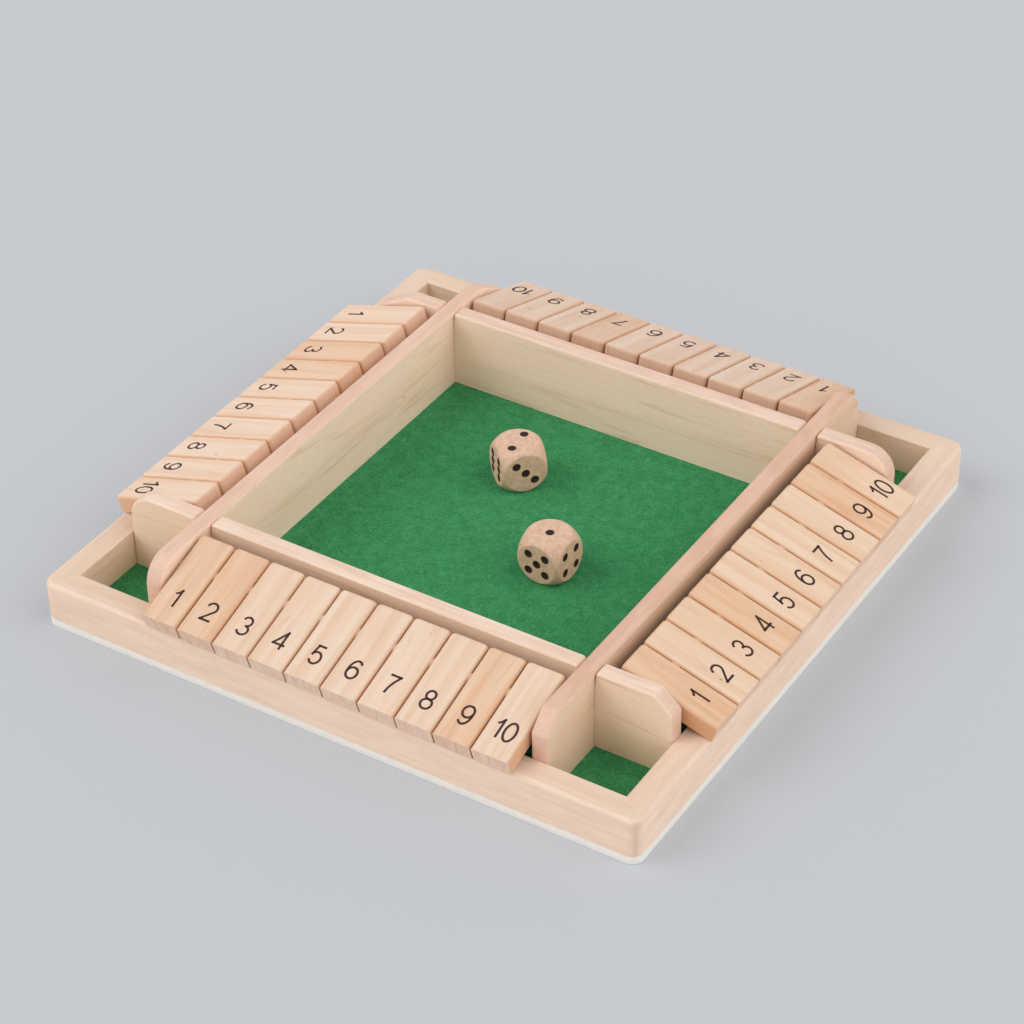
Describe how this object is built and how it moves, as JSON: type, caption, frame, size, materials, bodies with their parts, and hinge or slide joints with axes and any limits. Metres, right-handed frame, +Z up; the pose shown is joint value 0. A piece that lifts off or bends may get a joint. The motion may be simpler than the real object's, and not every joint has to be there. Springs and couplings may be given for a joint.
{
  "type": "shut the box game",
  "caption": "Square wooden shut the box board for four players, with numbered flip tiles on rods, a felt dice tray and dice.",
  "frame": {"origin": "centre of the square underside, on the table", "axes": "+Z up; +X to the right along the front side; -Y faces the front player"},
  "size_m": [0.2246, 0.2246, 0.0331],
  "materials": {
    "panel": "pale plywood, painted white on its edge",
    "felt": "green felt",
    "rail": "sanded pale pine",
    "divider": "sanded pale pine",
    "rod": "turned birch dowel",
    "tile": "sanded pine with printed numerals",
    "die": "oiled hardwood with dark pips"
  },
  "bodies": {
    "board": {"base_panel": "panel", "felt": "felt", "rail_front": "rail", "rail_right": "rail", "rail_back": "rail", "rail_left": "rail", "divider_front": "divider", "divider_right": "divider", "divider_back": "divider", "divider_left": "divider", "rod_front": "rod", "rod_right": "rod", "rod_back": "rod", "rod_left": "rod"},
    "tile_front_1": {"tile_front_1": "tile"},
    "tile_front_2": {"tile_front_2": "tile"},
    "tile_front_3": {"tile_front_3": "tile"},
    "tile_front_4": {"tile_front_4": "tile"},
    "tile_front_5": {"tile_front_5": "tile"},
    "tile_front_6": {"tile_front_6": "tile"},
    "tile_front_7": {"tile_front_7": "tile"},
    "tile_front_8": {"tile_front_8": "tile"},
    "tile_front_9": {"tile_front_9": "tile"},
    "tile_front_10": {"tile_front_10": "tile"},
    "tile_right_1": {"tile_right_1": "tile"},
    "tile_right_2": {"tile_right_2": "tile"},
    "tile_right_3": {"tile_right_3": "tile"},
    "tile_right_4": {"tile_right_4": "tile"},
    "tile_right_5": {"tile_right_5": "tile"},
    "tile_right_6": {"tile_right_6": "tile"},
    "tile_right_7": {"tile_right_7": "tile"},
    "tile_right_8": {"tile_right_8": "tile"},
    "tile_right_9": {"tile_right_9": "tile"},
    "tile_right_10": {"tile_right_10": "tile"},
    "tile_back_1": {"tile_back_1": "tile"},
    "tile_back_2": {"tile_back_2": "tile"},
    "tile_back_3": {"tile_back_3": "tile"},
    "tile_back_4": {"tile_back_4": "tile"},
    "tile_back_5": {"tile_back_5": "tile"},
    "tile_back_6": {"tile_back_6": "tile"},
    "tile_back_7": {"tile_back_7": "tile"},
    "tile_back_8": {"tile_back_8": "tile"},
    "tile_back_9": {"tile_back_9": "tile"},
    "tile_back_10": {"tile_back_10": "tile"},
    "tile_left_1": {"tile_left_1": "tile"},
    "tile_left_2": {"tile_left_2": "tile"},
    "tile_left_3": {"tile_left_3": "tile"},
    "tile_left_4": {"tile_left_4": "tile"},
    "tile_left_5": {"tile_left_5": "tile"},
    "tile_left_6": {"tile_left_6": "tile"},
    "tile_left_7": {"tile_left_7": "tile"},
    "tile_left_8": {"tile_left_8": "tile"},
    "tile_left_9": {"tile_left_9": "tile"},
    "tile_left_10": {"tile_left_10": "tile"},
    "die_1": {"die_1": "die"},
    "die_2": {"die_2": "die"}
  },
  "joints": [
    {"name": "flip_front_1", "type": "hinge", "parent": "board", "child": "tile_front_1", "pos_m": [-0.06075, -0.08982, 0.0265], "axis": [-1, 0, 0], "range_deg": [0, 162.5]},
    {"name": "flip_front_2", "type": "hinge", "parent": "board", "child": "tile_front_2", "pos_m": [-0.04725, -0.08982, 0.0265], "axis": [-1, 0, 0], "range_deg": [0, 162.5]},
    {"name": "flip_front_3", "type": "hinge", "parent": "board", "child": "tile_front_3", "pos_m": [-0.03375, -0.08982, 0.0265], "axis": [-1, 0, 0], "range_deg": [0, 162.5]},
    {"name": "flip_front_4", "type": "hinge", "parent": "board", "child": "tile_front_4", "pos_m": [-0.02025, -0.08982, 0.0265], "axis": [-1, 0, 0], "range_deg": [0, 162.5]},
    {"name": "flip_front_5", "type": "hinge", "parent": "board", "child": "tile_front_5", "pos_m": [-0.00675, -0.08982, 0.0265], "axis": [-1, 0, 0], "range_deg": [0, 162.5]},
    {"name": "flip_front_6", "type": "hinge", "parent": "board", "child": "tile_front_6", "pos_m": [0.00675, -0.08982, 0.0265], "axis": [-1, 0, 0], "range_deg": [0, 162.5]},
    {"name": "flip_front_7", "type": "hinge", "parent": "board", "child": "tile_front_7", "pos_m": [0.02025, -0.08982, 0.0265], "axis": [-1, 0, 0], "range_deg": [0, 162.5]},
    {"name": "flip_front_8", "type": "hinge", "parent": "board", "child": "tile_front_8", "pos_m": [0.03375, -0.08982, 0.0265], "axis": [-1, 0, 0], "range_deg": [0, 162.5]},
    {"name": "flip_front_9", "type": "hinge", "parent": "board", "child": "tile_front_9", "pos_m": [0.04725, -0.08982, 0.0265], "axis": [-1, 0, 0], "range_deg": [0, 162.5]},
    {"name": "flip_front_10", "type": "hinge", "parent": "board", "child": "tile_front_10", "pos_m": [0.06075, -0.08982, 0.0265], "axis": [-1, 0, 0], "range_deg": [0, 162.5]},
    {"name": "flip_right_1", "type": "hinge", "parent": "board", "child": "tile_right_1", "pos_m": [0.08982, -0.06075, 0.0265], "axis": [0, -1, 0], "range_deg": [0, 162.5]},
    {"name": "flip_right_2", "type": "hinge", "parent": "board", "child": "tile_right_2", "pos_m": [0.08982, -0.04725, 0.0265], "axis": [0, -1, 0], "range_deg": [0, 162.5]},
    {"name": "flip_right_3", "type": "hinge", "parent": "board", "child": "tile_right_3", "pos_m": [0.08982, -0.03375, 0.0265], "axis": [0, -1, 0], "range_deg": [0, 162.5]},
    {"name": "flip_right_4", "type": "hinge", "parent": "board", "child": "tile_right_4", "pos_m": [0.08982, -0.02025, 0.0265], "axis": [0, -1, 0], "range_deg": [0, 162.5]},
    {"name": "flip_right_5", "type": "hinge", "parent": "board", "child": "tile_right_5", "pos_m": [0.08982, -0.00675, 0.0265], "axis": [0, -1, 0], "range_deg": [0, 162.5]},
    {"name": "flip_right_6", "type": "hinge", "parent": "board", "child": "tile_right_6", "pos_m": [0.08982, 0.00675, 0.0265], "axis": [0, -1, 0], "range_deg": [0, 162.5]},
    {"name": "flip_right_7", "type": "hinge", "parent": "board", "child": "tile_right_7", "pos_m": [0.08982, 0.02025, 0.0265], "axis": [0, -1, 0], "range_deg": [0, 162.5]},
    {"name": "flip_right_8", "type": "hinge", "parent": "board", "child": "tile_right_8", "pos_m": [0.08982, 0.03375, 0.0265], "axis": [0, -1, 0], "range_deg": [0, 162.5]},
    {"name": "flip_right_9", "type": "hinge", "parent": "board", "child": "tile_right_9", "pos_m": [0.08982, 0.04725, 0.0265], "axis": [0, -1, 0], "range_deg": [0, 162.5]},
    {"name": "flip_right_10", "type": "hinge", "parent": "board", "child": "tile_right_10", "pos_m": [0.08982, 0.06075, 0.0265], "axis": [0, -1, 0], "range_deg": [0, 162.5]},
    {"name": "flip_back_1", "type": "hinge", "parent": "board", "child": "tile_back_1", "pos_m": [0.06075, 0.08982, 0.0265], "axis": [1, 0, 0], "range_deg": [0, 162.5]},
    {"name": "flip_back_2", "type": "hinge", "parent": "board", "child": "tile_back_2", "pos_m": [0.04725, 0.08982, 0.0265], "axis": [1, 0, 0], "range_deg": [0, 162.5]},
    {"name": "flip_back_3", "type": "hinge", "parent": "board", "child": "tile_back_3", "pos_m": [0.03375, 0.08982, 0.0265], "axis": [1, 0, 0], "range_deg": [0, 162.5]},
    {"name": "flip_back_4", "type": "hinge", "parent": "board", "child": "tile_back_4", "pos_m": [0.02025, 0.08982, 0.0265], "axis": [1, 0, 0], "range_deg": [0, 162.5]},
    {"name": "flip_back_5", "type": "hinge", "parent": "board", "child": "tile_back_5", "pos_m": [0.00675, 0.08982, 0.0265], "axis": [1, 0, 0], "range_deg": [0, 162.5]},
    {"name": "flip_back_6", "type": "hinge", "parent": "board", "child": "tile_back_6", "pos_m": [-0.00675, 0.08982, 0.0265], "axis": [1, 0, 0], "range_deg": [0, 162.5]},
    {"name": "flip_back_7", "type": "hinge", "parent": "board", "child": "tile_back_7", "pos_m": [-0.02025, 0.08982, 0.0265], "axis": [1, 0, 0], "range_deg": [0, 162.5]},
    {"name": "flip_back_8", "type": "hinge", "parent": "board", "child": "tile_back_8", "pos_m": [-0.03375, 0.08982, 0.0265], "axis": [1, 0, 0], "range_deg": [0, 162.5]},
    {"name": "flip_back_9", "type": "hinge", "parent": "board", "child": "tile_back_9", "pos_m": [-0.04725, 0.08982, 0.0265], "axis": [1, 0, 0], "range_deg": [0, 162.5]},
    {"name": "flip_back_10", "type": "hinge", "parent": "board", "child": "tile_back_10", "pos_m": [-0.06075, 0.08982, 0.0265], "axis": [1, 0, 0], "range_deg": [0, 162.5]},
    {"name": "flip_left_1", "type": "hinge", "parent": "board", "child": "tile_left_1", "pos_m": [-0.08982, 0.06075, 0.0265], "axis": [0, 1, 0], "range_deg": [0, 162.5]},
    {"name": "flip_left_2", "type": "hinge", "parent": "board", "child": "tile_left_2", "pos_m": [-0.08982, 0.04725, 0.0265], "axis": [0, 1, 0], "range_deg": [0, 162.5]},
    {"name": "flip_left_3", "type": "hinge", "parent": "board", "child": "tile_left_3", "pos_m": [-0.08982, 0.03375, 0.0265], "axis": [0, 1, 0], "range_deg": [0, 162.5]},
    {"name": "flip_left_4", "type": "hinge", "parent": "board", "child": "tile_left_4", "pos_m": [-0.08982, 0.02025, 0.0265], "axis": [0, 1, 0], "range_deg": [0, 162.5]},
    {"name": "flip_left_5", "type": "hinge", "parent": "board", "child": "tile_left_5", "pos_m": [-0.08982, 0.00675, 0.0265], "axis": [0, 1, 0], "range_deg": [0, 162.5]},
    {"name": "flip_left_6", "type": "hinge", "parent": "board", "child": "tile_left_6", "pos_m": [-0.08982, -0.00675, 0.0265], "axis": [0, 1, 0], "range_deg": [0, 162.5]},
    {"name": "flip_left_7", "type": "hinge", "parent": "board", "child": "tile_left_7", "pos_m": [-0.08982, -0.02025, 0.0265], "axis": [0, 1, 0], "range_deg": [0, 162.5]},
    {"name": "flip_left_8", "type": "hinge", "parent": "board", "child": "tile_left_8", "pos_m": [-0.08982, -0.03375, 0.0265], "axis": [0, 1, 0], "range_deg": [0, 162.5]},
    {"name": "flip_left_9", "type": "hinge", "parent": "board", "child": "tile_left_9", "pos_m": [-0.08982, -0.04725, 0.0265], "axis": [0, 1, 0], "range_deg": [0, 162.5]},
    {"name": "flip_left_10", "type": "hinge", "parent": "board", "child": "tile_left_10", "pos_m": [-0.08982, -0.06075, 0.0265], "axis": [0, 1, 0], "range_deg": [0, 162.5]},
    {"name": "lift_die_1", "type": "slide", "parent": "board", "child": "die_1", "axis": [0, 0, 1], "range_m": [0, 0.06]},
    {"name": "lift_die_2", "type": "slide", "parent": "board", "child": "die_2", "axis": [0, 0, 1], "range_m": [0, 0.06]}
  ]
}
